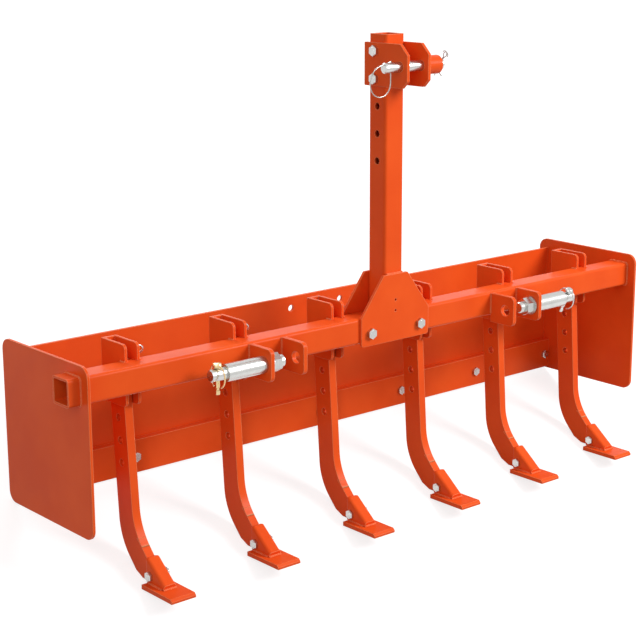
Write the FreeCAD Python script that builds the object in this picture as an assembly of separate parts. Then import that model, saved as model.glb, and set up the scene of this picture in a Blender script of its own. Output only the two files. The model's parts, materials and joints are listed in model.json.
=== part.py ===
import FreeCAD, Part
import math
import os
from FreeCAD import Vector

# Tractor box blade, 54 in (1372 mm) wide, three-point hitch, ripper shanks.
# Lengths in mm. The object is first drawn level: X to the right, Y to the rear,
# Z up, with the origin on the crossbar's centre line at mid width. A single
# placement then sets it down as it parks: tipped back on the rear edges of the
# ripper points and the rear corners of the end plates.

# Driving dimensions: end plates
WIDTH = 1372.0
PLATE_T = 5.0
PLATE_DEPTH = 270.0
PLATE_HEIGHT = 296.0
PLATE_R = 20.0
PLATE_AHEAD = 43.8
PLATE_ABOVE = 43.4

# Driving dimensions: crossbar, mast and gussets
TUBE = 48.0
TUBE_WALL = 4.0
TUBE_R = 6.0
TUBE_STUB = 24.0
MAST_CLEAR = 1.0
MAST_HEIGHT = 514.4
MAST_HOLE_D = 13.0
MAST_HOLE_PITCH = 50.0
MAST_HOLE_DROP = 30.0
MAST_HOLES = 5
GUSSET_T = 5.0
GUSSET_BOLT_X = 62.0
GUSSET_BOLT_DROP = 5.6
GUSSET_BOLT_D = 13.0
GUSSET_EDGE = 23.0
GUSSET_HANG = 5.6
GUSSET_SHOULDER = 0.4
GUSSET_RISE = 74.4
GUSSET_TOP_HALF = 30.0
GUSSET_CORNER = 6.0
GUSSET_DOT_D = 5.0
GUSSET_DOT_RISE = 4.4
GUSSET_DOT_PITCH = 20.5

# Driving dimensions: top clevis and its pin
CLEVIS_T = 6.0
CLEVIS_BOLTS = 2
CLEVIS_EDGE_HIGH = 15.0
CLEVIS_EDGE_LOW = 13.0
CLEVIS_REACH = 61.8
CLEVIS_TAIL = 5.2
CLEVIS_CHAMFER_HIGH = 19.0
CLEVIS_CHAMFER_LOW = 13.0
CLEVIS_CORNER = 2.0
TOP_PIN_D = 19.0
TOP_PIN_IN = 20.0
TOP_PIN_DROP = 40.0
TOP_PIN_OUT_LEFT = 38.0
TOP_PIN_OUT_RIGHT = 13.0
KEEPER_HOLE_D = 4.5
KEEPER_HOLE_IN = 17.0
SPLIT_HOLE_D = 4.0
SPLIT_HOLE_IN = 5.0
SPLIT_HOLE_TURN = 37.0
COLLAR_WALL = 7.5
COLLAR_LENGTH = 34.0

# Driving dimensions: lower hitch, Category 1
EAR_T = 8.0
EAR_OUTER_X = 339.0
EAR_PITCH = 73.0
EAR_REACH = 60.8
EAR_HEIGHT = 58.0
EAR_DROP = 2.6
EAR_CORNER = 10.0
HITCH_PIN_D = 22.0
HITCH_PIN_IN = 22.0
HITCH_COLLAR_T = 7.0
HITCH_TIP = 30.5
HITCH_NUT_AF = 30.0
HITCH_NUT_T = 19.0
HITCH_WASHER_D = 38.0
HITCH_WASHER_T = 4.0
HITCH_STUD = 12.0
SLEEVE_WALL = 4.44
SLEEVE_LENGTH = 76.0
SLEEVE_END_GAP = 0.5
RUN_FIT = 0.06
LYNCH_HOLE_D = 9.0
LYNCH_TURN_RIGHT = 25.0
PIN_CHAMFER = 2.0

# Driving dimensions: moldboard and cutting edge
BOARD_T = 5.0
BOARD_INSET = 21.0
BOARD_DROP = 18.6
BOARD_LIFT = 11.0
BOARD_SAG = 8.5
BOARD_HOLE_X = 63.0
BOARD_HOLE_DROP = 23.7
BOARD_HOLE_D = 13.0
EDGE_T = 10.0
EDGE_HEIGHT = 62.5
EDGE_HANG = 6.3
EDGE_BOLT_D = 11.0
EDGE_BOLT_RISE = 30.6
EDGE_BOLT_END = 16.0
EDGE_BOLT_LEAST_PITCH = 200.0

# Driving dimensions: ripper shanks, brackets and pins
SHANK_LEAST_PITCH = 210.0
SHANK_END = 114.75
SHANK_T = 16.0
SHANK_DEPTH = 42.0
SHANK_HOLE_D = 13.0
SHANK_HOLE_PITCH = 40.0
SHANK_HOLES = 5
SHANK_TOP = 22.0
SHANK_LEAN = 4.0
SHANK_STRAIGHT = 238.0
SHANK_BACK_STRAIGHT = 260.0
SHANK_BEND_R = 102.0
SHANK_BEND = 40.0
SHANK_HEEL_RUN = 39.5
SHANK_HEEL_R = 8.0
SHANK_CLEAR = 2.0
BRACKET_T = 5.0
BRACKET_GRIP = 18.3
BRACKET_HALF_HEIGHT = 54.0
BRACKET_CORNER = 9.0
BRACKET_WEB_GAP = 3.5
SHANK_PIN_D = 12.0
SHANK_PIN_OUT = 22.0
SHANK_PIN_HEAD_D = 20.0
SHANK_PIN_HEAD_T = 5.0
CLIP_HOLE_D = 4.0
CLIP_HOLE_IN = 7.0

# Driving dimensions: ripper points, measured from the shank's heel
FOOT_WIDTH = 50.0
FOOT_T = 8.0
FOOT_LENGTH = 88.0
FOOT_AHEAD = 32.0
FOOT_BEVEL = 4.0
FOOT_LIP = 4.0
SOCKET_T = 4.5
SOCKET_GAP = 0.5
SOCKET_SOLE = 1.0
SOCKET_AHEAD = 26.0
SOCKET_TOP_AHEAD = 33.7
SOCKET_RISE = 44.0
SOCKET_LENGTH = 47.0
SOCKET_FALL = 37.0
SOCKET_TOE = 2.0
SOCKET_CORNER = 2.0
SOCKET_FOLD = 6.0
POINT_BOLT_D = 10.0
POINT_BOLT_AHEAD = 40.0
POINT_BOLT_RISE = 13.0

# Dependent sizes
HALF_TUBE = TUBE / 2
HALF_MAST = HALF_TUBE - MAST_CLEAR
INSIDE_HALF = WIDTH / 2 - PLATE_T
PLATE_REAR_Y = PLATE_DEPTH - PLATE_AHEAD
PLATE_BOTTOM_Z = PLATE_ABOVE - PLATE_HEIGHT
MAST_TOP_Z = HALF_TUBE + MAST_HEIGHT
MAST_HOLE_Z = [MAST_TOP_Z - MAST_HOLE_DROP - k * MAST_HOLE_PITCH for k in range(MAST_HOLES)]
CLEVIS_TOP_Z = MAST_HOLE_Z[0] + CLEVIS_EDGE_HIGH
CLEVIS_BOTTOM_Z = MAST_HOLE_Z[CLEVIS_BOLTS - 1] - CLEVIS_EDGE_LOW
CLEVIS_FRONT_Y = -HALF_MAST - CLEVIS_REACH
CLEVIS_OUTER_X = HALF_MAST + CLEVIS_T
TOP_PIN_Y = CLEVIS_FRONT_Y + TOP_PIN_IN
TOP_PIN_Z = CLEVIS_TOP_Z - TOP_PIN_DROP
COLLAR_D = TOP_PIN_D + 2 * COLLAR_WALL
EAR_INNER_X = EAR_OUTER_X - EAR_PITCH
EAR_FRONT_Y = -HALF_TUBE - EAR_REACH
EAR_TOP_Z = HALF_TUBE - EAR_DROP
EAR_BOTTOM_Z = EAR_TOP_Z - EAR_HEIGHT
HITCH_PIN_Y = EAR_FRONT_Y + HITCH_PIN_IN
HITCH_PIN_Z = (EAR_TOP_Z + EAR_BOTTOM_Z) / 2
SLEEVE_D = HITCH_PIN_D + 2 * (RUN_FIT + SLEEVE_WALL)
SLEEVE_IN_X = EAR_OUTER_X + EAR_T / 2 + HITCH_COLLAR_T + SLEEVE_END_GAP
SLEEVE_OUT_X = SLEEVE_IN_X + SLEEVE_LENGTH
HITCH_TIP_X = SLEEVE_OUT_X + HITCH_TIP
NUT_OUT_X = EAR_OUTER_X - EAR_T / 2 - HITCH_WASHER_T
STUD_END_X = NUT_OUT_X - HITCH_NUT_T - HITCH_STUD
BOARD_FRONT_Y = PLATE_REAR_Y - BOARD_INSET - BOARD_T
BOARD_TOP_Z = PLATE_ABOVE - BOARD_DROP
BOARD_BOTTOM_Z = PLATE_BOTTOM_Z + BOARD_LIFT
BOARD_HOLE_Z = BOARD_TOP_Z - BOARD_HOLE_DROP
EDGE_BOTTOM_Z = BOARD_BOTTOM_Z - EDGE_HANG
EDGE_BOLT_Z = EDGE_BOTTOM_Z + EDGE_BOLT_RISE
EDGE_END_X = INSIDE_HALF - EDGE_BOLT_END
EDGE_SPACES = int(EDGE_END_X / EDGE_BOLT_LEAST_PITCH)
EDGE_BOLT_X = [k * EDGE_END_X / EDGE_SPACES for k in range(-EDGE_SPACES, EDGE_SPACES + 1)]
SHANK_SPAN = 2 * (INSIDE_HALF - SHANK_END)
SHANK_COUNT = 2 * int((SHANK_SPAN / SHANK_LEAST_PITCH + 1) / 2)
SHANK_PITCH = SHANK_SPAN / (SHANK_COUNT - 1)
SHANK_X = [k * SHANK_PITCH - SHANK_SPAN / 2 for k in range(SHANK_COUNT)]
SHANK_Y = HALF_TUBE + SHANK_CLEAR + SHANK_DEPTH / 2
BRACKET_WEB_Y = SHANK_Y + SHANK_DEPTH / 2 + BRACKET_WEB_GAP
BRACKET_INNER = SHANK_T + 2 * SHANK_CLEAR
BRACKET_HALF = BRACKET_INNER / 2 + BRACKET_T
SOCKET_HALF = SHANK_T / 2 + SOCKET_GAP + SOCKET_T
BEYOND = 2 * WIDTH

os.makedirs("parts", exist_ok=True)
NODES = {}


def box(x0, x1, y0, y1, z0, z1):
    return Part.makeBox(x1 - x0, y1 - y0, z1 - z0, Vector(x0, y0, z0))


def rod_x(y, z, d, x0, x1):
    """Round bar or bore across X."""
    return Part.makeCylinder(d / 2, x1 - x0, Vector(x0, y, z), Vector(1, 0, 0))


def rod_y(x, z, d, y0, y1):
    """Round bar or bore along Y."""
    return Part.makeCylinder(d / 2, y1 - y0, Vector(x, y0, z), Vector(0, 1, 0))


def rod_z(x, y, d, z0, z1):
    """Round bar or bore up Z."""
    return Part.makeCylinder(d / 2, z1 - z0, Vector(x, y, z0), Vector(0, 0, 1))


def rounded_wire(points):
    """Closed wire through (vector, corner radius) pairs, arcs at the corners."""
    edges = []
    ends = []
    n = len(points)
    for i in range(n):
        here, r = points[i]
        if r <= 0:
            ends.append((here, here))
            continue
        a = (points[i - 1][0] - here).normalize()
        b = (points[(i + 1) % n][0] - here).normalize()
        half = a.getAngle(b) / 2
        reach = r / math.tan(half)
        start = here + a * reach
        stop = here + b * reach
        axis = (a + b).normalize()
        middle = here + axis * (r / math.sin(half) - r)
        edges.append(Part.Arc(start, middle, stop).toShape())
        ends.append((start, stop))
    for i in range(n):
        p = ends[i][1]
        q = ends[(i + 1) % n][0]
        if p.distanceToPoint(q) > 1e-6:
            edges.append(Part.makeLine(p, q))
    return Part.Wire(Part.__sortEdges__(edges))


def prism_x(profile, x0, x1):
    """Profile of (y, z, corner radius) drawn across X from x0 to x1."""
    wire = rounded_wire([(Vector(x0, y, z), r) for y, z, r in profile])
    return Part.Face(wire).extrude(Vector(x1 - x0, 0, 0))


def prism_y(profile, y0, y1):
    """Profile of (x, z, corner radius) drawn along Y from y0 to y1."""
    wire = rounded_wire([(Vector(x, y0, z), r) for x, z, r in profile])
    return Part.Face(wire).extrude(Vector(0, y1 - y0, 0))


def prism_z(profile, z0, z1):
    """Profile of (x, y, corner radius) drawn up Z from z0 to z1."""
    wire = rounded_wire([(Vector(x, y, z0), r) for x, y, r in profile])
    return Part.Face(wire).extrude(Vector(0, 0, z1 - z0))


def square(half, r):
    """Square section round the origin with rounded corners."""
    return [(-half, -half, r), (half, -half, r), (half, half, r), (-half, half, r)]


def inner_radius(wall):
    return max(TUBE_R - wall, 0.5)


def hex_x(y, z, across, x0, x1):
    r = across / math.sqrt(3)
    turns = [math.radians(60 * k + 30) for k in range(6)]
    return prism_x([(y + r * math.cos(t), z + r * math.sin(t), 0) for t in turns], x0, x1)


def mirrored(shape):
    return shape.mirror(Vector(0, 0, 0), Vector(1, 0, 0))


def chamfered_ends(rod):
    return rod.makeChamfer(PIN_CHAMFER, [e for e in rod.Edges if e.Curve.TypeId == "Part::GeomCircle"])


# Crossbar: square tube run through both end plates, open ends outside them
half_bar = WIDTH / 2 + TUBE_STUB
bar = prism_x(square(HALF_TUBE, TUBE_R), -half_bar, half_bar)
bar = bar.cut(prism_x(square(HALF_TUBE - TUBE_WALL, inner_radius(TUBE_WALL)), -BEYOND, BEYOND))
for x in (-GUSSET_BOLT_X, GUSSET_BOLT_X):
    bar = bar.cut(rod_y(x, -GUSSET_BOLT_DROP, GUSSET_BOLT_D, -TUBE, TUBE))
NODES["crossbar"] = bar

# End plates: rounded corners, square window for the crossbar
plate_profile = [(-PLATE_AHEAD, PLATE_BOTTOM_Z, PLATE_R), (PLATE_REAR_Y, PLATE_BOTTOM_Z, PLATE_R),
                 (PLATE_REAR_Y, PLATE_ABOVE, PLATE_R), (-PLATE_AHEAD, PLATE_ABOVE, PLATE_R)]
plate = prism_x(plate_profile, INSIDE_HALF, WIDTH / 2)
plate = plate.cut(prism_x(square(HALF_TUBE, TUBE_R), 0, BEYOND))
NODES["end_plate_right"] = plate
NODES["end_plate_left"] = mirrored(plate)

# Moldboard: curved sheet between the end plates, hollow side to the front
board_mid_z = (BOARD_TOP_Z + BOARD_BOTTOM_Z) / 2


def board_line(offset):
    """The sheet's section, moved to the rear by offset."""
    y = BOARD_FRONT_Y + offset
    return Part.Arc(Vector(-INSIDE_HALF, y, BOARD_TOP_Z), Vector(-INSIDE_HALF, y + BOARD_SAG, board_mid_z),
                    Vector(-INSIDE_HALF, y, BOARD_BOTTOM_Z)).toShape()


def across_box(edges):
    """A closed outline at the left end plate, drawn across to the right one."""
    outline = Part.Wire(Part.__sortEdges__(edges))
    return Part.Face(outline).extrude(Vector(2 * INSIDE_HALF, 0, 0))


def level_line(z, y0, y1):
    return Part.makeLine(Vector(-INSIDE_HALF, y0, z), Vector(-INSIDE_HALF, y1, z))


board = across_box([board_line(0), board_line(BOARD_T),
                    level_line(BOARD_BOTTOM_Z, BOARD_FRONT_Y, BOARD_FRONT_Y + BOARD_T),
                    level_line(BOARD_TOP_Z, BOARD_FRONT_Y, BOARD_FRONT_Y + BOARD_T)])
for x in (-BOARD_HOLE_X, BOARD_HOLE_X):
    board = board.cut(rod_y(x, BOARD_HOLE_Z, BOARD_HOLE_D, 0, BEYOND))
for x in EDGE_BOLT_X:
    board = board.cut(rod_y(x, EDGE_BOLT_Z, EDGE_BOLT_D, 0, BEYOND))
NODES["moldboard"] = board

# Cutting edge: flat bar against the moldboard's foot, its back cut to the sheet
edge = box(-INSIDE_HALF, INSIDE_HALF, BOARD_FRONT_Y - EDGE_T, BOARD_FRONT_Y + BOARD_SAG,
           EDGE_BOTTOM_Z, EDGE_BOTTOM_Z + EDGE_HEIGHT)
behind = Vector(-INSIDE_HALF, BEYOND, BOARD_TOP_Z)
edge = edge.cut(across_box([board_line(0), level_line(BOARD_TOP_Z, BOARD_FRONT_Y, BEYOND),
                            level_line(BOARD_BOTTOM_Z, BOARD_FRONT_Y, BEYOND),
                            Part.makeLine(behind, Vector(-INSIDE_HALF, BEYOND, BOARD_BOTTOM_Z))]))
edge = edge.cut(box(-INSIDE_HALF, INSIDE_HALF, BOARD_FRONT_Y, BEYOND, EDGE_BOTTOM_Z, BOARD_BOTTOM_Z))
for x in EDGE_BOLT_X:
    edge = edge.cut(rod_y(x, EDGE_BOLT_Z, EDGE_BOLT_D, 0, BEYOND))
NODES["cutting_edge"] = edge

# Mast: square tube standing on the crossbar, open at the top
mast = prism_z(square(HALF_MAST, TUBE_R), HALF_TUBE, MAST_TOP_Z)
mast = mast.cut(prism_z(square(HALF_MAST - TUBE_WALL, inner_radius(TUBE_WALL)), 0, BEYOND))
for z in MAST_HOLE_Z:
    mast = mast.cut(rod_x(0, z, MAST_HOLE_D, -TUBE, TUBE))
NODES["mast"] = mast

# Gussets: A-shaped plates in front of and behind the crossbar
half = GUSSET_BOLT_X + GUSSET_EDGE
low = -HALF_TUBE - GUSSET_HANG
shoulder = HALF_TUBE + GUSSET_SHOULDER
high = HALF_TUBE + GUSSET_RISE
r = GUSSET_CORNER
gusset_profile = [(-half, low, r), (half, low, r), (half, shoulder, r / 2), (GUSSET_TOP_HALF, high, r / 2),
                  (-GUSSET_TOP_HALF, high, r / 2), (-half, shoulder, r / 2)]
for name, y in (("gusset_front", -HALF_TUBE - GUSSET_T), ("gusset_rear", HALF_TUBE)):
    gusset = prism_y(gusset_profile, y, y + GUSSET_T)
    for x in (-GUSSET_BOLT_X, GUSSET_BOLT_X):
        gusset = gusset.cut(rod_y(x, -GUSSET_BOLT_DROP, GUSSET_BOLT_D, -TUBE, TUBE))
    for k in range(2):
        z = HALF_TUBE + GUSSET_DOT_RISE + k * GUSSET_DOT_PITCH
        gusset = gusset.cut(rod_y(0, z, GUSSET_DOT_D, -TUBE, TUBE))
    NODES[name] = gusset

# Top clevis: two side plates bolted to the mast, collar on the right one
tail = HALF_MAST + CLEVIS_TAIL
r = CLEVIS_CORNER
clevis_profile = [(tail, CLEVIS_BOTTOM_Z, r), (tail, CLEVIS_TOP_Z, r),
                  (CLEVIS_FRONT_Y + CLEVIS_CHAMFER_HIGH, CLEVIS_TOP_Z, r),
                  (CLEVIS_FRONT_Y, CLEVIS_TOP_Z - CLEVIS_CHAMFER_HIGH, r),
                  (CLEVIS_FRONT_Y, CLEVIS_BOTTOM_Z + CLEVIS_CHAMFER_LOW, r),
                  (CLEVIS_FRONT_Y + CLEVIS_CHAMFER_LOW, CLEVIS_BOTTOM_Z, r)]
clevis = prism_x(clevis_profile, HALF_MAST, CLEVIS_OUTER_X)
for z in MAST_HOLE_Z[:CLEVIS_BOLTS]:
    clevis = clevis.cut(rod_x(0, z, MAST_HOLE_D, 0, TUBE))
top_bore = rod_x(TOP_PIN_Y, TOP_PIN_Z, TOP_PIN_D + 2 * RUN_FIT, -BEYOND, BEYOND)
collar = rod_x(TOP_PIN_Y, TOP_PIN_Z, COLLAR_D, CLEVIS_OUTER_X, CLEVIS_OUTER_X + COLLAR_LENGTH)
NODES["top_clevis_left"] = mirrored(clevis).cut(top_bore)
NODES["top_clevis_right"] = clevis.fuse(collar).cut(top_bore)

# Top link pin: plain pin, cross holes for its wire keeper ring and split pin
pin_left = -CLEVIS_OUTER_X - TOP_PIN_OUT_LEFT
pin_right = CLEVIS_OUTER_X + COLLAR_LENGTH + TOP_PIN_OUT_RIGHT
top_pin = chamfered_ends(rod_x(TOP_PIN_Y, TOP_PIN_Z, TOP_PIN_D, pin_left, pin_right))
keeper_hole = rod_z(pin_left + KEEPER_HOLE_IN, TOP_PIN_Y, KEEPER_HOLE_D, 0, BEYOND)
split_hole = rod_z(pin_right - SPLIT_HOLE_IN, TOP_PIN_Y, SPLIT_HOLE_D, TOP_PIN_Z - TOP_PIN_D, TOP_PIN_Z + TOP_PIN_D)
split_hole.rotate(Vector(0, TOP_PIN_Y, TOP_PIN_Z), Vector(1, 0, 0), SPLIT_HOLE_TURN)
NODES["top_link_pin"] = top_pin.cut(keeper_hole).cut(split_hole)

# Lower hitch: pairs of ears on the crossbar's front face
ear_profile = [(EAR_FRONT_Y, EAR_BOTTOM_Z, EAR_CORNER), (-HALF_TUBE, EAR_BOTTOM_Z, 0),
               (-HALF_TUBE, EAR_TOP_Z, 0), (EAR_FRONT_Y, EAR_TOP_Z, EAR_CORNER)]
for name, x in (("hitch_ear_outer", EAR_OUTER_X), ("hitch_ear_inner", EAR_INNER_X)):
    ear = prism_x(ear_profile, x - EAR_T / 2, x + EAR_T / 2)
    ear = ear.cut(rod_x(HITCH_PIN_Y, HITCH_PIN_Z, HITCH_PIN_D, 0, BEYOND))
    NODES[name + "_right"] = ear
    NODES[name + "_left"] = mirrored(ear)


def on_hitch_axis(d, x0, x1):
    return rod_x(HITCH_PIN_Y, HITCH_PIN_Z, d, x0, x1)


# Hitch pins: collar against the ear, washer, nut and stud end on its inner side
pin = chamfered_ends(on_hitch_axis(HITCH_PIN_D, STUD_END_X, HITCH_TIP_X))
pin = pin.fuse(on_hitch_axis(SLEEVE_D, EAR_OUTER_X + EAR_T / 2, SLEEVE_IN_X - SLEEVE_END_GAP))
pin = pin.fuse(on_hitch_axis(HITCH_WASHER_D, NUT_OUT_X, NUT_OUT_X + HITCH_WASHER_T))
pin = pin.fuse(hex_x(HITCH_PIN_Y, HITCH_PIN_Z, HITCH_NUT_AF, NUT_OUT_X - HITCH_NUT_T, NUT_OUT_X))
lynch_x = (SLEEVE_OUT_X + HITCH_TIP_X) / 2
lynch_hole = rod_z(lynch_x, HITCH_PIN_Y, LYNCH_HOLE_D, HITCH_PIN_Z - HITCH_PIN_D, HITCH_PIN_Z + HITCH_PIN_D)
NODES["hitch_pin_left"] = mirrored(pin.cut(lynch_hole))
lynch_hole.rotate(Vector(0, HITCH_PIN_Y, HITCH_PIN_Z), Vector(1, 0, 0), LYNCH_TURN_RIGHT)
NODES["hitch_pin_right"] = pin.cut(lynch_hole)
sleeve = on_hitch_axis(SLEEVE_D, SLEEVE_IN_X, SLEEVE_OUT_X)
sleeve = sleeve.cut(on_hitch_axis(HITCH_PIN_D + 2 * RUN_FIT, 0, BEYOND))
NODES["hitch_sleeve_left"] = mirrored(sleeve)
NODES["hitch_sleeve_right"] = sleeve

# Shank bracket: U of plate, notched round the rear half of the crossbar
top = BRACKET_HALF_HEIGHT
front = HALF_TUBE - BRACKET_GRIP
rear = BRACKET_WEB_Y + BRACKET_T
bracket_profile = [(front, -top, BRACKET_CORNER), (rear, -top, 0), (rear, top, 0), (front, top, BRACKET_CORNER)]
bracket = prism_x(bracket_profile, -BRACKET_HALF, BRACKET_HALF)
bracket = bracket.cut(box(-BRACKET_INNER / 2, BRACKET_INNER / 2, 0, BRACKET_WEB_Y, -BEYOND, BEYOND))
bracket = bracket.cut(prism_x(square(HALF_TUBE, TUBE_R), -BEYOND, BEYOND))
bracket = bracket.cut(rod_x(SHANK_Y, 0, SHANK_PIN_D, -BEYOND, BEYOND))

# Shank: flat bar hung on its pin, leaning a little forward, foot bent forward
bend = math.radians(SHANK_BEND)
half = SHANK_DEPTH / 2


def bent_line(y, straight):
    """Start, middle and end of the arc that turns the upright line at y forward."""
    centre = Vector(0, y - SHANK_BEND_R, -straight)
    return [centre + Vector(0, math.cos(a), -math.sin(a)) * SHANK_BEND_R for a in (0, bend / 2, bend)]


def upright(point):
    """A point of the shank, drawn upright round its pin, in its leaning place."""
    a = math.radians(SHANK_LEAN)
    y = point.y * math.cos(a) + point.z * math.sin(a)
    z = point.z * math.cos(a) - point.y * math.sin(a)
    return Vector(point.x, SHANK_Y + y, z)


nose = Vector(0, -math.sin(bend), -math.cos(bend))
inner = bent_line(-half, SHANK_STRAIGHT)
outer = bent_line(half, SHANK_BACK_STRAIGHT)
heel = upright(outer[2] + nose * SHANK_HEEL_RUN)
inner_tip = inner[2] + nose * 3 * SHANK_HEEL_RUN
outer_tip = outer[2] + nose * 3 * SHANK_HEEL_RUN
top_front = Vector(0, -half, SHANK_TOP)
top_rear = Vector(0, half, SHANK_TOP)
shank_wire = Part.Wire(Part.__sortEdges__([
    Part.makeLine(top_front, inner[0]), Part.Arc(*inner).toShape(), Part.makeLine(inner[2], inner_tip),
    Part.makeLine(inner_tip, outer_tip), Part.makeLine(outer_tip, outer[2]),
    Part.Arc(*outer).toShape(), Part.makeLine(outer[0], top_rear), Part.makeLine(top_rear, top_front)]))
shank = Part.Face(shank_wire).extrude(Vector(SHANK_T, 0, 0))
shank.translate(Vector(-SHANK_T / 2, 0, 0))
for k in range(SHANK_HOLES):
    d = SHANK_HOLE_D if k else SHANK_PIN_D
    shank = shank.cut(rod_x(0, -k * SHANK_HOLE_PITCH, d, -SHANK_T, SHANK_T))
shank.rotate(Vector(0, 0, 0), Vector(1, 0, 0), -SHANK_LEAN)
shank.translate(Vector(0, SHANK_Y, 0))


# The nose is cut level over the foot plate and sloped to lie in the socket
def from_heel(ahead, rise):
    """A point ahead of the shank's heel and above it."""
    return Vector(0, heel.y - ahead, heel.z + rise)


ground = heel.z - SOCKET_SOLE - FOOT_T
foot_top = ground + FOOT_T
face_top = from_heel(SOCKET_TOP_AHEAD, SOCKET_RISE)
face_low = face_top - Vector(0, SOCKET_LENGTH, SOCKET_FALL)
slope = (face_top - face_low).normalize()
inward = Vector(0, slope.z, -slope.y)
lining = face_low + inward * (SOCKET_T + SOCKET_GAP)
nose_low = lining - slope * SOCKET_LENGTH
nose_high = lining + slope * 2 * SHANK_STRAIGHT
clear_side = prism_x([(nose_low.y, nose_low.z, 0), (BEYOND, nose_low.z, 0), (BEYOND, nose_high.z, 0),
                      (nose_high.y, nose_high.z, 0)], -SHANK_T, SHANK_T)
clear_side = clear_side.common(box(-SHANK_T, SHANK_T, -BEYOND, BEYOND, heel.z, BEYOND))
bend_side = box(-SHANK_T, SHANK_T, -BEYOND, BEYOND, face_top.z + SOCKET_LENGTH / 2, BEYOND)
point_bolt = from_heel(POINT_BOLT_AHEAD, POINT_BOLT_RISE)
shank = shank.common(clear_side.fuse(bend_side))
shank = shank.makeFillet(SHANK_HEEL_R, [e for e in shank.Edges if e.CenterOfMass.distanceToPoint(heel) < 0.01])
shank = shank.cut(rod_x(point_bolt.y, point_bolt.z, POINT_BOLT_D, -SHANK_T, SHANK_T))

# Ripper point: foot plate with a bevelled front edge and a folded socket on it
foot_rear = heel.y - FOOT_AHEAD
foot_front = foot_rear - FOOT_LENGTH
foot = prism_x([(foot_rear, ground, 0), (foot_rear, foot_top, 0), (foot_front + FOOT_BEVEL, foot_top, 0),
                (foot_front, ground + FOOT_LIP, 0), (foot_front, ground, 0)], -FOOT_WIDTH / 2, FOOT_WIDTH / 2)
socket_rear = heel.y - SOCKET_AHEAD
socket_profile = [(face_top.y, face_top.z, SOCKET_CORNER), (face_low.y, face_low.z, 0),
                  (face_low.y + SOCKET_TOE, foot_top, 0), (socket_rear, foot_top, 0),
                  (socket_rear, face_top.z - SOCKET_CORNER, SOCKET_CORNER)]
socket = prism_x(socket_profile, -SOCKET_HALF, SOCKET_HALF)
folds = [e for e in socket.Edges if e.Length > SOCKET_LENGTH / 2 and abs(e.tangentAt(0).dot(slope)) > 0.999]
socket = socket.makeFillet(SOCKET_FOLD, folds)
hollow_top = face_top + inward * SOCKET_T + slope * SOCKET_LENGTH
hollow_low = face_low + inward * SOCKET_T
hollow = prism_x([(hollow_top.y, hollow_top.z, 0), (hollow_low.y, hollow_low.z, 0),
                  (face_low.y + SOCKET_TOE + SOCKET_T, foot_top, 0), (BEYOND, foot_top, 0),
                  (BEYOND, hollow_top.z, 0)], SOCKET_T - SOCKET_HALF, SOCKET_HALF - SOCKET_T)
socket = socket.cut(hollow)
socket = socket.cut(rod_x(point_bolt.y, point_bolt.z, POINT_BOLT_D, -BEYOND, BEYOND))
point = foot.fuse(socket)

# Shank pin: headed pin through bracket and shank, cross hole for its clip
tip_x = BRACKET_HALF + SHANK_PIN_OUT
cross_pin = rod_x(SHANK_Y, 0, SHANK_PIN_D, -BRACKET_HALF, tip_x)
cross_pin = cross_pin.fuse(rod_x(SHANK_Y, 0, SHANK_PIN_HEAD_D, -BRACKET_HALF - SHANK_PIN_HEAD_T, -BRACKET_HALF))
cross_pin = cross_pin.cut(rod_z(tip_x - CLIP_HOLE_IN, SHANK_Y, CLIP_HOLE_D, -SHANK_PIN_D, SHANK_PIN_D))

for i, x in enumerate(SHANK_X):
    for name, shape in (("shank_bracket", bracket), ("shank", shank),
                        ("shank_point", point), ("shank_pin", cross_pin)):
        copy = shape.copy()
        copy.translate(Vector(x, 0, 0))
        NODES[f"{name}_{i + 1}"] = copy


# Parked attitude: tip back about X until the rear corners of the end plates
# touch the floor together with the ripper points
def bounds_at(shape, angle):
    turned = shape.copy()
    turned.rotate(Vector(0, 0, 0), Vector(1, 0, 0), -angle)
    return turned.optimalBoundingBox(False, False)


less = 0.0
more = 60.0
for _ in range(28):
    park = (less + more) / 2
    if bounds_at(point, park).ZMin < bounds_at(plate, park).ZMin:
        less = park
    else:
        more = park
floor = bounds_at(point, park).ZMin
reach = [bounds_at(shape, park) for shape in NODES.values()]
mid_y = (min(b.YMin for b in reach) + max(b.YMax for b in reach)) / 2
print("parked tilt", round(park, 5), "shift", round(-mid_y, 4), round(-floor, 4))

for name, shape in NODES.items():
    out = shape.removeSplitter()
    out.rotate(Vector(0, 0, 0), Vector(1, 0, 0), -park)
    out.translate(Vector(0, -mid_y, -floor))
    if len(out.Solids) != 1 or not out.isValid():
        print("check", name, len(out.Solids), out.isValid())
    out.exportStep("parts/" + name + ".step")
print(len(NODES), "nodes")
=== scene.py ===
import json
import math

import bmesh
import bpy
from bpy.props import FloatProperty, FloatVectorProperty, PointerProperty
from mathutils import Matrix, Vector


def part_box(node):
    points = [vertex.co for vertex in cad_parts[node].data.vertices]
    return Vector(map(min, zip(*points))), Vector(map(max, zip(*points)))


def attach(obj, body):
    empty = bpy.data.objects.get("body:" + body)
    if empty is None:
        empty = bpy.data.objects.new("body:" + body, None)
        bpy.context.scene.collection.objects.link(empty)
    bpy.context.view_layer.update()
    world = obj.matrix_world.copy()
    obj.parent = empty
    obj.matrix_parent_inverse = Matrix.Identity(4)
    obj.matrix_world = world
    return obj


bl_info = {
    "name": "Tractor Box Blade",
    "version": (1, 0, 0),
    "blender": (4, 5, 0),
    "location": "View3D > Sidebar > Box Blade",
    "description": "Dresses a packed box blade with its fasteners, welds, clips, paint and studio",
    "category": "Object",
}

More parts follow.
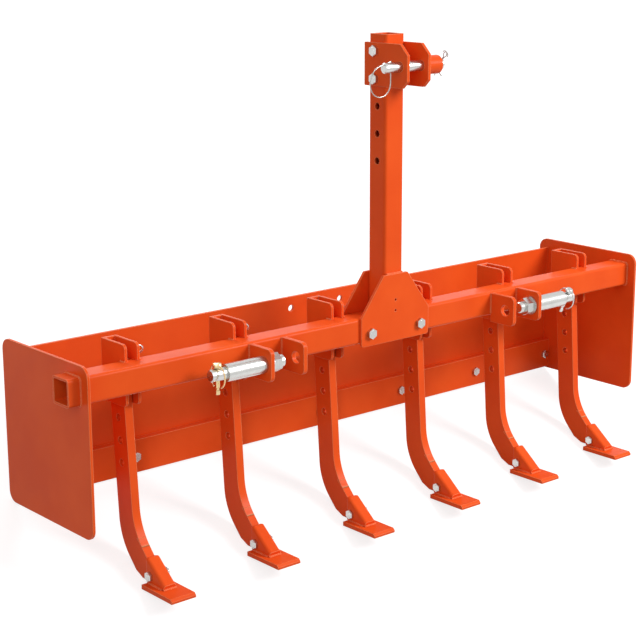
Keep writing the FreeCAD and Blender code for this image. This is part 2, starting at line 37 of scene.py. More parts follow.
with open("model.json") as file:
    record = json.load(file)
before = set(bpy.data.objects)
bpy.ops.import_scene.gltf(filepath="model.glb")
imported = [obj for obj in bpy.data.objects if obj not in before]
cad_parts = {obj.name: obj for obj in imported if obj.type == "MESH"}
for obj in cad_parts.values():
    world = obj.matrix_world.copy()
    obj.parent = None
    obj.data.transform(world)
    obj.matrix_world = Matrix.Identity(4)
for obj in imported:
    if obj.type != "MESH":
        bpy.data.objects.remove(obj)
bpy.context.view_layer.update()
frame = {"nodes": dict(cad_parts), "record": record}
NODES = frame["nodes"]
BODY = "frame"
MM = 0.001


def mount_at(name):
    """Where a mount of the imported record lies, in metres."""
    found = [m for m in frame["record"]["mounts"] if m["name"] == name]
    return Vector(found[0]["pos_m"])


def level_placement():
    """From millimetres on the level blade, origin on the crossbar's centre line, to the parked blade."""
    up = (mount_at("mast_hole_3") - mount_at("mast_hole_1")).normalized()
    across = Vector((1, 0, 0))
    rear = up.cross(across)
    low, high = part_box("crossbar")
    turn = Matrix((across, rear, up)).transposed().to_4x4()
    return Matrix.Translation((low + high) / 2) @ turn @ Matrix.Scale(MM, 4)


LEVEL = level_placement()
TO_LEVEL = LEVEL.inverted()


def level_box(node):
    """Lowest and highest corner of a node on the level blade, in millimetres."""
    points = [TO_LEVEL @ v.co for v in NODES[node].data.vertices]
    low = Vector([min(p[i] for p in points) for i in range(3)])
    high = Vector([max(p[i] for p in points) for i in range(3)])
    return low, high


def sheet_back(z):
    """Where the moldboard's rear face lies at a height."""
    near = [TO_LEVEL @ v.co for v in NODES["moldboard"].data.vertices]
    low = min(near, key=lambda p: (round(abs(p.z - z) / 6), -p.y))
    return low.y


TUBE_LOW, TUBE_HIGH = level_box("crossbar")
MAST_LOW, MAST_HIGH = level_box("mast")
SHANKS = sorted(n for n in NODES if n.startswith("shank_") and n.split("_")[1].isdigit())
PAINTED = {s["node"] for s in frame["record"]["subparts"] if s["material_slot"] == "orange_paint"}

# Bolts, as places on the level blade in millimetres
GUSSET_BOLT_X = 62.0
GUSSET_BOLT_Z = -5.6
CLEVIS_BOLT_DROP = (30.0, 80.0)
EDGE_BOLTS = 7
EDGE_BOLT_END = 16.0
EDGE_BOLT_RISE = 30.6
LYNCH_TURN_RIGHT = 25.0
SPLIT_HOLE_TURN = 37.0
POINT_BOLT_AHEAD = 14.0
POINT_BOLT_RISE = 22.0
SOCKET_HALF = 13.0

# Heads, nuts and studs, in millimetres
LARGE_HEAD, LARGE_NUT, LARGE_STUD = 7.5, 10.0, 6.0
SMALL_HEAD, SMALL_NUT, SMALL_STUD = 6.0, 8.0, 4.0
EDGE_WASHER_T = 1.6
POINT_WASHER_T = 0.8

# Lynch pin, from its head down: lengths in millimetres, each with the widening at its far end
LYNCH_HEAD_R = 5.5
LYNCH_TOP = 21.0
LYNCH_HEAD = ((1.2, 1.35), (2.5, 1.15), (3.0, 0.97), (2.2, 0.82), (1.2, 0.62))
LYNCH_SHAFT = ((33.0, 1.0), (1.0, 0.72), (3.5, 1.0), (1.0, 1.45), (6.0, 1.0), (1.2, 0.75))
LYNCH_WIRE_R = 1.4

# Keepers, in millimetres: how far the holes lie from the pins' ends, and the wires
KEEPER_HOLE_IN = 17.0
SPLIT_HOLE_IN = 5.0
SPLIT_WIRE_R = 0.85
CLIP_HOLE_IN = 7.0
CLIP_WIRE_R = 1.4

# Welds, in millimetres
WELD_STEP = 1.9
WELD_SIDES = 8
TUBE_CORNER_R = 6.0
COLLAR_R = 17.0
COLLAR_LENGTH = 34.0
FOOT_T = 8.0

# Front of a shank's bend over its socket: y and z in millimetres, angles in degrees
SHANK_FRONT_TOP = (-1.8, -285.5)
SHANK_FRONT_FOOT = (-17.65, -298.0)
SHANK_BEND_CENTRE = (-92.3, -228.84)
SHANK_BEND_R = 102.0
SHANK_BEND_FROM = 33.75
SHANK_BEND_STEP = 1.25
SHANK_BEND_POINTS = 6

# Finishes
# Painted highlight: the lighter colour mixed onto the paint's edges stands in for light caught on the rounded edges
PAINT_EDGE_HIGHLIGHT = (1.0, 0.42, 0.21, 1.0)
PAINT_SPECULAR = 0.08
PAINT_BEVEL_MM = 1.6
SPRING_STEEL = (0.42, 0.41, 0.38)
DULL_ZINC = 0.90

# Studio: lamps aim at one place and stand round the level blade
FLOOR_HALF_M = 20.0
FLOOR_LIFT = 0.78
WORLD_LIGHT = 0.43
WORLD_SEEN = 1.0
LAMP_AIM = (0, 60, -80)
LAMPS = (  # name, place in millimetres, size in metres, watts
    ("key", (1900, -2600, 1900), 1.4, 118.0),
    ("fill", (-2800, -1400, 1300), 2.2, 20.0),
    ("back", (300, 1900, 2500), 1.6, 44.0),
)

# Camera on the level blade: place in millimetres, angles in degrees
CAMERA_AT = (-2009.2, -2178.9, 734.3)
CAMERA_YAW = 40.307
CAMERA_PITCH = 13.838
CAMERA_ROLL = -0.186
FOCAL_PX = 1616.59
PHOTO_PX = 640
SENSOR_MM = 36.0


class BladeSettings(bpy.types.PropertyGroup):
    """Sizes and colours of the dressing."""

    bolt_across: FloatProperty(
        name="Bolt across flats", description="Width over the flats of the M12 heads and nuts, in millimetres",
        default=18.0, min=10.0, max=30.0)
    small_bolt_across: FloatProperty(
        name="Small bolt across flats", description="Width over the flats of the M10 heads and nuts, in millimetres",
        default=16.0, min=8.0, max=24.0)
    weld_size: FloatProperty(
        name="Weld size", description="Radius of the weld beads, in millimetres", default=2.6, min=1.0, max=6.0)
    wire: FloatProperty(
        name="Keeper wire", description="Thickness of the keeper ring's wire, in millimetres",
        default=2.2, min=1.0, max=5.0)
    paint: FloatVectorProperty(
        name="Paint", description="Colour of the powder coat", subtype="COLOR", size=3,
        default=(0.83, 0.098, 0.014), min=0.0, max=1.0)
    paint_deep: FloatVectorProperty(
        name="Deep paint", description="Colour of the powder coat where it lies thicker", subtype="COLOR", size=3,
        default=(0.77, 0.080, 0.011), min=0.0, max=1.0)
    zinc: FloatVectorProperty(
        name="Zinc", description="Colour of the plated steel", subtype="COLOR", size=3,
        default=(0.62, 0.62, 0.60), min=0.0, max=1.0)
    brass: FloatVectorProperty(
        name="Yellow zinc", description="Colour of the left lynch pin", subtype="COLOR", size=3,
        default=(0.80, 0.62, 0.33), min=0.0, max=1.0)


def settings():
    """The sizes and colours set for this scene."""
    return bpy.context.scene.box_blade


# Materials

def new_material(name):
    """A material with its node tree emptied to an output and a Principled shader."""
    made = bpy.data.materials.new(name)
    made.use_nodes = True
    tree = made.node_tree
    tree.nodes.clear()
    out = tree.nodes.new("ShaderNodeOutputMaterial")
    shader = tree.nodes.new("ShaderNodeBsdfPrincipled")
    tree.links.new(shader.outputs["BSDF"], out.inputs["Surface"])
    return made, tree, shader


def pattern(tree, scale, detail, stretch=(1.0, 1.0, 1.0)):
    """A noise on object coordinates."""
    where = tree.nodes.new("ShaderNodeTexCoord")
    mapping = tree.nodes.new("ShaderNodeMapping")
    mapping.inputs["Scale"].default_value = stretch
    noise = tree.nodes.new("ShaderNodeTexNoise")
    noise.inputs["Scale"].default_value = scale
    noise.inputs["Detail"].default_value = detail
    tree.links.new(where.outputs["Object"], mapping.inputs["Vector"])
    tree.links.new(mapping.outputs["Vector"], noise.inputs["Vector"])
    return noise.outputs["Fac"]


def ramp(tree, source, low, high, at=(0.3, 0.7)):
    """Turns a value to a colour between two."""
    node = tree.nodes.new("ShaderNodeValToRGB")
    node.color_ramp.elements[0].position = at[0]
    node.color_ramp.elements[1].position = at[1]
    node.color_ramp.elements[0].color = (*low, 1.0)
    node.color_ramp.elements[1].color = (*high, 1.0)
    tree.links.new(source, node.inputs["Fac"])
    return node.outputs["Color"]


def spread(tree, source, low, high):
    """Maps a value from 0..1 to low..high."""
    node = tree.nodes.new("ShaderNodeMapRange")
    node.inputs["To Min"].default_value = low
    node.inputs["To Max"].default_value = high
    tree.links.new(source, node.inputs["Value"])
    return node.outputs["Result"]


def bumped(tree, shader, height, strength, distance, under=None):
    """Gives the shader a fine relief, over another normal if one is given."""
    node = tree.nodes.new("ShaderNodeBump")
    node.inputs["Strength"].default_value = strength
    node.inputs["Distance"].default_value = distance
    tree.links.new(height, node.inputs["Height"])
    if under is not None:
        tree.links.new(under, node.inputs["Normal"])
    tree.links.new(node.outputs["Normal"], shader.inputs["Normal"])


def paint_material():
    """Glossy orange powder coat: fine orange peel, rounded edges, and a painted highlight that lightens the corners.
    """
    s = settings()
    made, tree, shader = new_material("orange_powder_coat")
    shader.inputs["Metallic"].default_value = 0.0
    shader.inputs["Specular IOR Level"].default_value = PAINT_SPECULAR
    cloud = ramp(tree, pattern(tree, 9.0, 3.0), tuple(s.paint_deep), tuple(s.paint), (0.35, 0.65))
    edge = tree.nodes.new("ShaderNodeBevel")
    edge.samples = 6
    edge.inputs["Radius"].default_value = PAINT_BEVEL_MM * MM
    face = tree.nodes.new("ShaderNodeNewGeometry")
    match = tree.nodes.new("ShaderNodeVectorMath")
    match.operation = "DOT_PRODUCT"
    tree.links.new(edge.outputs["Normal"], match.inputs[0])
    tree.links.new(face.outputs["Normal"], match.inputs[1])
    # Painted highlight: lightens the paint where the bevel normal turns away from the face normal, on the edges and
    # corners
    edge_highlight_mask = tree.nodes.new("ShaderNodeMapRange")
    edge_highlight_mask.inputs["From Min"].default_value = 0.995
    edge_highlight_mask.inputs["From Max"].default_value = 0.80
    edge_highlight_mask.inputs["To Min"].default_value = 0.0
    edge_highlight_mask.inputs["To Max"].default_value = 0.90
    tree.links.new(match.outputs["Value"], edge_highlight_mask.inputs["Value"])
    blend = tree.nodes.new("ShaderNodeMix")
    blend.data_type = "RGBA"
    blend.inputs[7].default_value = PAINT_EDGE_HIGHLIGHT
    tree.links.new(edge_highlight_mask.outputs["Result"], blend.inputs[0])
    tree.links.new(cloud, blend.inputs[6])
    tree.links.new(blend.outputs[2], shader.inputs["Base Color"])
    tree.links.new(spread(tree, pattern(tree, 40.0, 2.0), 0.26, 0.36), shader.inputs["Roughness"])
    bumped(tree, shader, pattern(tree, 620.0, 1.0), 0.10, 0.0004, edge.outputs["Normal"])
    return made


def plated_material(name, colour, across):
    """Bright plated steel; across is the axis of the turning marks."""
    made, tree, shader = new_material(name)
    shader.inputs["Metallic"].default_value = 1.0
    fine = [40.0, 40.0, 40.0]
    fine["XYZ".index(across)] = 1400.0
    marks = pattern(tree, 1.0, 2.0, tuple(fine))
    dull = tuple(DULL_ZINC * c for c in colour)
    tree.links.new(ramp(tree, pattern(tree, 60.0, 2.0), dull, tuple(colour)), shader.inputs["Base Color"])
    tree.links.new(spread(tree, marks, 0.20, 0.32), shader.inputs["Roughness"])
    bumped(tree, shader, marks, 0.08, 0.0002)
    return made


def floor_material():
    """Pale floor that reads as white to the camera where it is lit, and keeps the blade's shadow."""
    made, tree, shader = new_material("pale_floor")
    shader.inputs["Roughness"].default_value = 0.9
    shader.inputs["Specular IOR Level"].default_value = 0.1
    grain = ramp(tree, pattern(tree, 3.0, 2.0), (0.31, 0.31, 0.31), (0.33, 0.33, 0.33))
    tree.links.new(grain, shader.inputs["Base Color"])
    out = next(n for n in tree.nodes if n.type == "OUTPUT_MATERIAL")
    glow = tree.nodes.new("ShaderNodeEmission")
    glow.inputs["Color"].default_value = (1.0, 1.0, 1.0, 1.0)
    seen = seen_directly(tree)
    lift = tree.nodes.new("ShaderNodeMath")
    lift.operation = "MULTIPLY"
    lift.inputs[1].default_value = FLOOR_LIFT
    tree.links.new(seen, lift.inputs[0])
    tree.links.new(lift.outputs["Value"], glow.inputs["Strength"])
    both = tree.nodes.new("ShaderNodeAddShader")
    tree.links.new(shader.outputs["BSDF"], both.inputs[0])
    tree.links.new(glow.outputs["Emission"], both.inputs[1])
    tree.links.new(both.outputs["Shader"], out.inputs["Surface"])
    return made


def seen_directly(tree):
    """1 for camera, mirror and glass rays, 0 for the rays that light the blade."""
    path = tree.nodes.new("ShaderNodeLightPath")
    total = path.outputs["Is Camera Ray"]
    for name in ("Is Glossy Ray", "Is Transmission Ray"):
        node = tree.nodes.new("ShaderNodeMath")
        node.operation = "MAXIMUM"
        tree.links.new(total, node.inputs[0])
        tree.links.new(path.outputs[name], node.inputs[1])
        total = node.outputs["Value"]
    return total


def material(name):
    """The material of that name, made on first use."""
    if name in bpy.data.materials:
        return bpy.data.materials[name]
    s = settings()
    makers = {
        "orange_powder_coat": paint_material,
        "zinc_turned": lambda: plated_material("zinc_turned", tuple(s.zinc), "X"),
        "zinc_wire": lambda: plated_material("zinc_wire", tuple(s.zinc), "Z"),
        "spring_wire": lambda: plated_material("spring_wire", SPRING_STEEL, "Z"),
        "yellow_zinc": lambda: plated_material("yellow_zinc", tuple(s.brass), "Z"),
        "pale_floor": floor_material,
    }
    return makers[name]()


# Shaping with bmesh, in millimetres on the level blade

def facing(at, axis):
    """Placement that stands local +Z along axis at a point."""
    return Matrix.Translation(Vector(at)) @ Vector(axis).to_track_quat("Z", "Y").to_matrix().to_4x4()


def disc(bm, radius, sides):
    """A flat round face at the origin, looking along Z."""
    made = bmesh.ops.create_circle(bm, cap_ends=True, segments=sides, radius=radius)
    return made["verts"][0].link_faces[0]


def pushed(bm, face, length, scale=1.0):
    """Extrudes a flat face along local +Z, and widens or narrows its far end."""
    made = bmesh.ops.extrude_face_region(bm, geom=[face])
    far = next(g for g in made["geom"] if isinstance(g, bmesh.types.BMFace))
    bmesh.ops.translate(bm, verts=far.verts, vec=(0, 0, length))
    if scale != 1.0:
        bmesh.ops.scale(bm, verts=far.verts, vec=(scale, scale, 1.0))
    return far


def stood(bm, before, place):
    """Moves to its place everything that isn't listed in before."""
    fresh = [v for v in bm.verts if v not in before]
    bmesh.ops.transform(bm, matrix=place, verts=fresh)


def hexagon(bm, at, axis, across, height, rim=0.9):
    """Hexagon head or nut with its outer corners chamfered."""
    before = set(bm.verts)
    face = disc(bm, across / math.sqrt(3), 6)
    face = pushed(bm, face, height - rim)
    pushed(bm, face, rim, 1.0 - 2.0 * rim / across)
    stood(bm, before, facing(at, axis))


def round_bar(bm, at, axis, radius, length, rim=0.6, sides=24):
    """Round bar with chamfered far end."""
    before = set(bm.verts)
    face = disc(bm, radius, sides)
    face = pushed(bm, face, length - rim)
    pushed(bm, face, rim, (radius - rim) / radius)
    stood(bm, before, facing(at, axis))


def bolt_head(bm, at, axis, across, height):
    """Hexagon head with the shallow round of its stamping."""
    axis = Vector(axis)
    hexagon(bm, at, axis, across, height)
    round_bar(bm, Vector(at) + axis * height, axis, across * 0.36, 0.5, 0.3, 24)


def nut_end(bm, at, axis, across, height, stud, washer_t=2.0):
    """Washer, nut and the bolt's end standing out of it."""
    axis = Vector(axis)
    round_bar(bm, at, axis, across * 0.62, washer_t, 0.3, 32)
    hexagon(bm, Vector(at) + axis * washer_t, axis, across, height)
    round_bar(bm, Vector(at) + axis * (washer_t + height), axis, across * 0.31, stud, 1.0)


def bent_bar(bm, start, heading, plane, radius, moves, sides=8, pitch=0.0, waist=0.84):
    """A bar bent in one plane. A move is ("run", length) or ("turn", bend radius, degrees).
    With a pitch the bar narrows to its waist at every other step, as a weld bead does."""
    at = Vector(start)
    ahead = Vector(heading).normalized()
    normal = Vector(plane).normalized()
    before = set(bm.verts)
    face = disc(bm, radius, sides)
    stood(bm, before, facing(at, ahead))
    count = 0

    def step(move):
        nonlocal face, count
        made = bmesh.ops.extrude_face_region(bm, geom=[face])
        face = next(g for g in made["geom"] if isinstance(g, bmesh.types.BMFace))
        bmesh.ops.transform(bm, matrix=move, verts=face.verts)
        if pitch:
            count += 1
            size = waist if count % 2 else 1.0 / waist
            centre = face.calc_center_median()
            here = Matrix.Translation(centre) @ Matrix.Scale(size, 4) @ Matrix.Translation(-centre)
            bmesh.ops.transform(bm, matrix=here, verts=face.verts)

    for move in moves:
        if move[0] == "run":
            parts = max(1, round(move[1] / pitch)) if pitch else 1
            for _ in range(parts):
                step(Matrix.Translation(ahead * (move[1] / parts)))
            at = at + ahead * move[1]
        else:
            bend, degrees = move[1], move[2]
            side = 1.0 if degrees > 0 else -1.0
            centre = at + normal.cross(ahead) * bend * side
            length = abs(math.radians(degrees)) * bend
            parts = max(2, math.ceil(abs(degrees) / 15), round(length / pitch) if pitch else 0)
            turn = Matrix.Rotation(math.radians(degrees) / parts, 4, normal)
            about = Matrix.Translation(centre) @ turn @ Matrix.Translation(-centre)
            for _ in range(parts):
                step(about)
                at = about @ at
                ahead = turn.to_3x3() @ ahead
    return at, ahead


def bead(bm, start, heading, plane, moves):
    """A weld bead along a bent line."""
    bent_bar(bm, start, heading, plane, settings().weld_size, moves, sides=WELD_SIDES, pitch=WELD_STEP)


def placed(bm, name, material_name, body=BODY, smooth=40.0):
    """Sets the shape on the parked blade as one piece with its finish, riding on a body."""
    bmesh.ops.recalc_face_normals(bm, faces=bm.faces)
    bm.transform(LEVEL)
    mesh = bpy.data.meshes.new(name)
    bm.to_mesh(mesh)
    bm.free()
    for polygon in mesh.polygons:
        polygon.use_smooth = True
    mesh.set_sharp_from_angle(angle=math.radians(smooth))
    piece = bpy.data.objects.new(name, mesh)
    bpy.context.scene.collection.objects.link(piece)
    piece.data.materials.append(material(material_name))
    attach(piece, body)
    return piece


class BLADE_OT_finish_nodes(bpy.types.Operator):
    """Gives the welded and turned pieces their powder coat or plating"""

    bl_idname = "blade.finish_nodes"
    bl_label = "Finishes"

    def execute(self, context):
        for name, node in NODES.items():
            finish = "orange_powder_coat" if name in PAINTED else "zinc_turned"
            node.data.materials.clear()
            node.data.materials.append(material(finish))
        return {"FINISHED"}


class BLADE_OT_bolts(bpy.types.Operator):
    """Adds the gusset, clevis, cutting edge and point bolts"""

    bl_idname = "blade.bolts"
    bl_label = "Bolts"

    def execute(self, context):
        self.gusset_bolts()
        self.clevis_bolts()
        self.edge_bolts()
        self.point_bolts()
        return {"FINISHED"}

    def gusset_bolts(self):
        size = settings().bolt_across
        front = level_box("gusset_front")[0].y
        rear = level_box("gusset_rear")[1].y
        for side, x in (("left", -GUSSET_BOLT_X), ("right", GUSSET_BOLT_X)):
            bm = bmesh.new()
            bolt_head(bm, (x, front, GUSSET_BOLT_Z), (0, -1, 0), size, LARGE_HEAD)
            nut_end(bm, (x, rear, GUSSET_BOLT_Z), (0, 1, 0), size, LARGE_NUT, LARGE_STUD)
            placed(bm, "gusset_bolt_" + side, "zinc_wire")

    def clevis_bolts(self):
        size = settings().bolt_across
        left = level_box("top_clevis_left")[0].x
        for number, drop in enumerate(CLEVIS_BOLT_DROP, 1):
            z = MAST_HIGH.z - drop
            bm = bmesh.new()
            bolt_head(bm, (left, 0, z), (-1, 0, 0), size, LARGE_HEAD)
            nut_end(bm, (-left, 0, z), (1, 0, 0), size, LARGE_NUT, LARGE_STUD)
            placed(bm, f"clevis_bolt_{number}", "zinc_turned")

    def edge_bolts(self):
        size = settings().small_bolt_across
        low, high = level_box("cutting_edge")
        z = low.z + EDGE_BOLT_RISE
        back = sheet_back(z)
        space = 2 * (high.x - EDGE_BOLT_END) / (EDGE_BOLTS - 1)
        bm = bmesh.new()
        for k in range(EDGE_BOLTS):
            x = (k - (EDGE_BOLTS - 1) / 2) * space
            bolt_head(bm, (x, low.y, z), (0, -1, 0), size, SMALL_HEAD)
            nut_end(bm, (x, back, z), (0, 1, 0), size, SMALL_NUT, SMALL_STUD, EDGE_WASHER_T)
        placed(bm, "cutting_edge_bolts", "zinc_wire")

    def point_bolts(self):
        size = settings().small_bolt_across
        for name in SHANKS:
            number = name.split("_")[1]
            low, high = level_box("shank_point_" + number)
            middle = (low.x + high.x) / 2
            y = high.y - POINT_BOLT_AHEAD
            z = low.z + POINT_BOLT_RISE
            bm = bmesh.new()
            bolt_head(bm, (middle - SOCKET_HALF, y, z), (-1, 0, 0), size, SMALL_HEAD)
            nut_end(bm, (middle + SOCKET_HALF, y, z), (1, 0, 0), size, SMALL_NUT, SMALL_STUD, POINT_WASHER_T)
            placed(bm, "point_bolt_" + number, "zinc_turned")


class BLADE_OT_keepers(bpy.types.Operator):
    """Adds the lynch pins, keeper ring, split pin and shank pin clips"""

    bl_idname = "blade.keepers"
    bl_label = "Keepers"

    def execute(self, context):
        self.lynch_pin("left", -1.0, 0.0, "yellow_zinc")
        self.lynch_pin("right", 1.0, LYNCH_TURN_RIGHT, "zinc_wire")
        self.keeper_ring()
        self.split_pin()
        self.shank_clips()
        return {"FINISHED"}

    def lynch_pin(self, side, sign, turn, finish):
        """Headed pin through the hitch pin's tip, its two spring wires bent round the tip."""
        low, high = level_box("hitch_pin_" + side)
        sleeve = level_box("hitch_sleeve_" + side)
        tip = high.x if sign > 0 else -low.x
        x = sign * ((sleeve[1].x if sign > 0 else -sleeve[0].x) + tip) / 2
        axis = Vector((x, (low.y + high.y) / 2, (low.z + high.z) / 2))
        lean = Matrix.Rotation(math.radians(turn), 4, "X")
        about = Matrix.Translation(axis) @ lean @ Matrix.Translation(-axis)
        bm = bmesh.new()
        face = disc(bm, LYNCH_HEAD_R, 24)
        for length, scale in LYNCH_HEAD + LYNCH_SHAFT:
            face = pushed(bm, face, length, scale)
        stood(bm, [], facing(axis + Vector((0, 0, LYNCH_TOP)), (0, 0, -1)))
        for edge in (-1.0, 1.0):
            bent_bar(bm, axis + Vector((0, edge * 4.0, 16.0)), (0, edge, 0.1), (1, 0, 0), LYNCH_WIRE_R,
                     [("turn", 13.0, -edge * 45.0), ("turn", 21.0, -edge * 112.0)], sides=8)
        stood(bm, [], about)
        placed(bm, "lynch_pin_" + side, finish)

    def keeper_ring(self):
        """Wire ring through the top link pin's cross hole."""
        low, high = level_box("top_link_pin")
        y = (low.y + high.y) / 2
        z = (low.z + high.z) / 2
        bm = bmesh.new()
        moves = [("run", 38.0), ("turn", 24.5, 90.0), ("turn", 24.5, 90.0), ("turn", 31.0, 75.0), ("run", 26.0)]
        bent_bar(bm, (low.x + KEEPER_HOLE_IN, y, z + 12.0), (0, 0, -1), (0, 1, 0), settings().wire / 2, moves,
                 sides=10)
        placed(bm, "keeper_ring", "spring_wire")

    def split_pin(self):
        """Split pin through the right end of the top link pin, its legs bent apart."""
        low, high = level_box("top_link_pin")
        turn = math.radians(SPLIT_HOLE_TURN)
        along = Vector((0, math.sin(turn), -math.cos(turn)))
        across = Vector((1, 0, 0))
        centre = Vector((high.x - SPLIT_HOLE_IN, (low.y + high.y) / 2, (low.z + high.z) / 2))
        bm = bmesh.new()
        for side in (-1.0, 1.0):
            start = centre - along * 11.0 + along.cross(across) * 0.9 * side
            legs = [("run", 21.0), ("turn", 3.0, side * 40.0 - 45.0), ("run", 15.0)]
            bent_bar(bm, start, along, across, SPLIT_WIRE_R, legs)
            eye = [("run", 4.0), ("turn", 4.6, side * 45.0), ("turn", 5.6, -side * 222.0)]
            bent_bar(bm, start, -along, across, SPLIT_WIRE_R, eye)
        placed(bm, "split_pin", "spring_wire")

    def shank_clips(self):
        """Spring clips through the shank pins' tips."""
        for name in SHANKS:
            number = name.split("_")[1]
            low, high = level_box("shank_pin_" + number)
            x = high.x - CLIP_HOLE_IN
            y = (low.y + high.y) / 2
            z = (low.z + high.z) / 2
            bm = bmesh.new()
            bent_bar(bm, (x, y, z - 13.0), (0, 0, 1), (0.8, 0.6, 0), CLIP_WIRE_R,
                     [("run", 25.0), ("turn", 8.0, 45.0), ("run", 18.0), ("turn", 5.0, -205.0), ("run", 9.0),
                      ("turn", 9.0, 55.0), ("turn", 11.0, -60.0), ("run", 7.0)], sides=8)
            placed(bm, "shank_clip_" + number, "zinc_wire")


class BLADE_OT_welds(bpy.types.Operator):
    """Adds the weld beads, painted over with the rest"""

    bl_idname = "blade.welds"
    bl_label = "Welds"

    def execute(self, context):
        self.crossbar_welds()
        self.mast_welds()
        self.ear_welds()
        self.bracket_welds()
        self.point_welds()
        return {"FINISHED"}

    def crossbar_welds(self):
        half = TUBE_HIGH.z
        corner = TUBE_CORNER_R
        round_tube = 4 * [("run", 2 * (half - corner)), ("turn", corner, -90.0)]
        bm = bmesh.new()
        for node in ("end_plate_left", "end_plate_right"):
            low, high = level_box(node)
            for x in (low.x, high.x):
                bead(bm, (x, corner - half, half), (0, 1, 0), (1, 0, 0), round_tube)
        placed(bm, "crossbar_welds", "orange_powder_coat")

    def mast_welds(self):
        bm = bmesh.new()
        along_mast = [("run", MAST_HIGH.y - MAST_LOW.y - 2 * TUBE_CORNER_R)]
        for x in (MAST_LOW.x, MAST_HIGH.x):
            bead(bm, (x, MAST_LOW.y + TUBE_CORNER_R, TUBE_HIGH.z), (0, 1, 0), (0, 0, 1), along_mast)
        low, high = level_box("gusset_front")
        bead(bm, (-20.0, high.y, high.z), (1, 0, 0), (0, 0, 1), [("run", 40.0)])
        low, high = level_box("top_clevis_right")
        pin_low, pin_high = level_box("top_link_pin")
        y = (pin_low.y + pin_high.y) / 2
        z = (pin_low.z + pin_high.z) / 2
        bead(bm, (high.x - COLLAR_LENGTH, y, z + COLLAR_R), (0, 1, 0), (1, 0, 0), [("turn", COLLAR_R, -360.0)])
        placed(bm, "mast_welds", "orange_powder_coat")

    def ear_welds(self):
        bm = bmesh.new()
        for place in ("outer", "inner"):
            for side in ("left", "right"):
                low, high = level_box(f"hitch_ear_{place}_{side}")
                for x in (low.x, high.x):
                    bead(bm, (x, TUBE_LOW.y, TUBE_LOW.z + 5.0), (0, 0, 1), (0, 1, 0),
                         [("run", high.z - TUBE_LOW.z - 5.0)])
        placed(bm, "ear_welds", "orange_powder_coat")

    def bracket_welds(self):
        bm = bmesh.new()
        for name in SHANKS:
            low, high = level_box("shank_bracket_" + name.split("_")[1])
            for x in (low.x, high.x):
                for z in (TUBE_HIGH.z, TUBE_LOW.z):
                    bead(bm, (x, low.y, z), (0, 1, 0), (0, 0, 1), [("run", TUBE_HIGH.y - low.y - 5.0)])
        placed(bm, "bracket_welds", "orange_powder_coat")

    def point_welds(self):
        bm = bmesh.new()
        for name in SHANKS:
            low, high = level_box("shank_point_" + name.split("_")[1])
            middle = (low.x + high.x) / 2
            top = low.z + FOOT_T
            for x in (middle - SOCKET_HALF, middle + SOCKET_HALF):
                bead(bm, (x, high.y - 50.0, top), (0, 1, 0), (0, 0, 1), [("run", 40.0)])
            bead(bm, (middle - SOCKET_HALF, high.y - 53.0, top), (1, 0, 0), (0, 0, 1), [("run", 2 * SOCKET_HALF)])
        placed(bm, "point_welds", "orange_powder_coat")


class BLADE_OT_shank_fronts(bpy.types.Operator):
    """Fills the front of each shank's bend over the socket, where the bar is cut short"""

    bl_idname = "blade.shank_fronts"
    bl_label = "Shank fronts"

    def execute(self, context):
        profile = [SHANK_FRONT_TOP]
        for k in range(SHANK_BEND_POINTS):
            turn = math.radians(SHANK_BEND_FROM + k * SHANK_BEND_STEP)
            profile.append((SHANK_BEND_CENTRE[0] + SHANK_BEND_R * math.cos(turn),
                            SHANK_BEND_CENTRE[1] - SHANK_BEND_R * math.sin(turn)))
        profile.append(SHANK_FRONT_FOOT)
        for name in SHANKS:
            low, high = level_box(name)
            bm = bmesh.new()
            face = bm.faces.new([bm.verts.new((low.x, y, z)) for y, z in profile])
            side = bmesh.ops.extrude_face_region(bm, geom=[face])
            moved = [g for g in side["geom"] if isinstance(g, bmesh.types.BMVert)]
            bmesh.ops.translate(bm, verts=moved, vec=(high.x - low.x, 0, 0))
            placed(bm, "shank_front_" + name.split("_")[1], "orange_powder_coat")
        return {"FINISHED"}


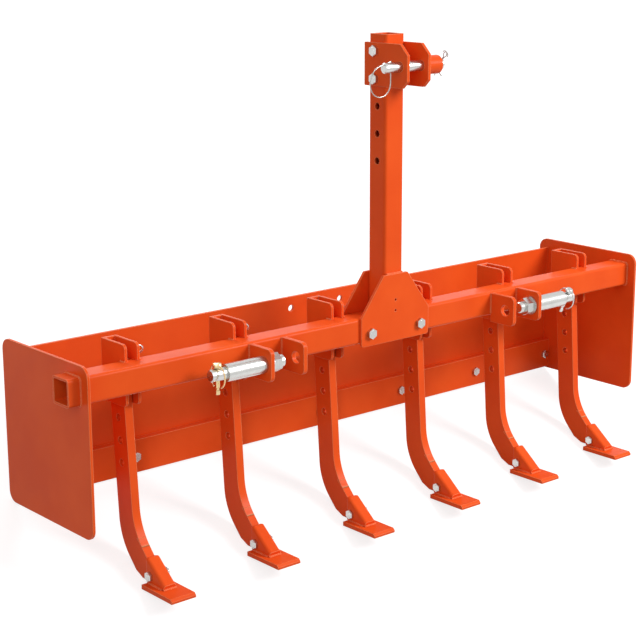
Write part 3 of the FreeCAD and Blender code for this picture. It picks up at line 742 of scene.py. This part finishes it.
class BLADE_OT_stage(bpy.types.Operator):
    """Sets the floor, the soft lights, the white world and the camera"""

    bl_idname = "blade.stage"
    bl_label = "Stage"

    def execute(self, context):
        self.floor()
        self.world()
        self.lamps()
        self.camera()
        context.scene.view_settings.view_transform = "Standard"
        return {"FINISHED"}

    def floor(self):
        bm = bmesh.new()
        bmesh.ops.create_grid(bm, x_segments=8, y_segments=8, size=FLOOR_HALF_M)
        mesh = bpy.data.meshes.new("floor")
        bm.to_mesh(mesh)
        bm.free()
        floor = bpy.data.objects.new("floor", mesh)
        bpy.context.scene.collection.objects.link(floor)
        floor.data.materials.append(material("pale_floor"))

    def world(self):
        world = bpy.data.worlds.new("studio")
        world.use_nodes = True
        tree = world.node_tree
        back = next(n for n in tree.nodes if n.type == "BACKGROUND")
        back.inputs["Color"].default_value = (1.0, 1.0, 1.0, 1.0)
        level = tree.nodes.new("ShaderNodeMapRange")
        level.inputs["To Min"].default_value = WORLD_LIGHT
        level.inputs["To Max"].default_value = WORLD_SEEN
        tree.links.new(seen_directly(tree), level.inputs["Value"])
        tree.links.new(level.outputs["Result"], back.inputs["Strength"])
        bpy.context.scene.world = world

    def lamps(self):
        aim = LEVEL @ Vector(LAMP_AIM)
        for name, at, size, watts in LAMPS:
            data = bpy.data.lights.new(name, "AREA")
            data.size = size
            data.energy = watts
            lamp = bpy.data.objects.new(name, data)
            lamp.location = LEVEL @ Vector(at)
            lamp.rotation_euler = (aim - lamp.location).to_track_quat("-Z", "Y").to_euler()
            bpy.context.scene.collection.objects.link(lamp)

    def camera(self):
        yaw = math.radians(CAMERA_YAW)
        pitch = math.radians(CAMERA_PITCH)
        ahead = Vector((math.sin(yaw) * math.cos(pitch), math.cos(yaw) * math.cos(pitch), -math.sin(pitch)))
        right = Vector((math.cos(yaw), -math.sin(yaw), 0))
        up = right.cross(ahead)
        rolled = Matrix.Rotation(math.radians(CAMERA_ROLL), 3, -ahead)
        turn = LEVEL.to_3x3().normalized() @ Matrix((rolled @ right, rolled @ up, -ahead)).transposed()
        data = bpy.data.cameras.new("camera")
        data.sensor_width = SENSOR_MM
        data.lens = SENSOR_MM * FOCAL_PX / PHOTO_PX
        data.clip_end = 60.0
        camera = bpy.data.objects.new("camera", data)
        camera.matrix_world = Matrix.Translation(LEVEL @ Vector(CAMERA_AT)) @ turn.to_4x4()
        bpy.context.scene.collection.objects.link(camera)
        bpy.context.scene.camera = camera


OPERATORS = (BLADE_OT_stage, BLADE_OT_finish_nodes, BLADE_OT_bolts, BLADE_OT_keepers, BLADE_OT_welds,
             BLADE_OT_shank_fronts)


class BLADE_PT_panel(bpy.types.Panel):
    """Lists the steps that dress the blade"""

    bl_idname = "BLADE_PT_panel"
    bl_label = "Box Blade"
    bl_space_type = "VIEW_3D"
    bl_region_type = "UI"
    bl_category = "Box Blade"

    def draw(self, context):
        for name in BladeSettings.__annotations__:
            self.layout.prop(context.scene.box_blade, name)
        for operator in OPERATORS:
            self.layout.operator(operator.bl_idname)


CLASSES = (BladeSettings, *OPERATORS, BLADE_PT_panel)


def register():
    for each in CLASSES:
        bpy.utils.register_class(each)
    bpy.types.Scene.box_blade = PointerProperty(type=BladeSettings)


def unregister():
    del bpy.types.Scene.box_blade
    for each in reversed(CLASSES):
        bpy.utils.unregister_class(each)


def main():
    register()
    bpy.ops.blade.stage()
    bpy.ops.blade.finish_nodes()
    bpy.ops.blade.bolts()
    bpy.ops.blade.keepers()
    bpy.ops.blade.welds()
    bpy.ops.blade.shank_fronts()


if __name__ == "__main__":
    main()
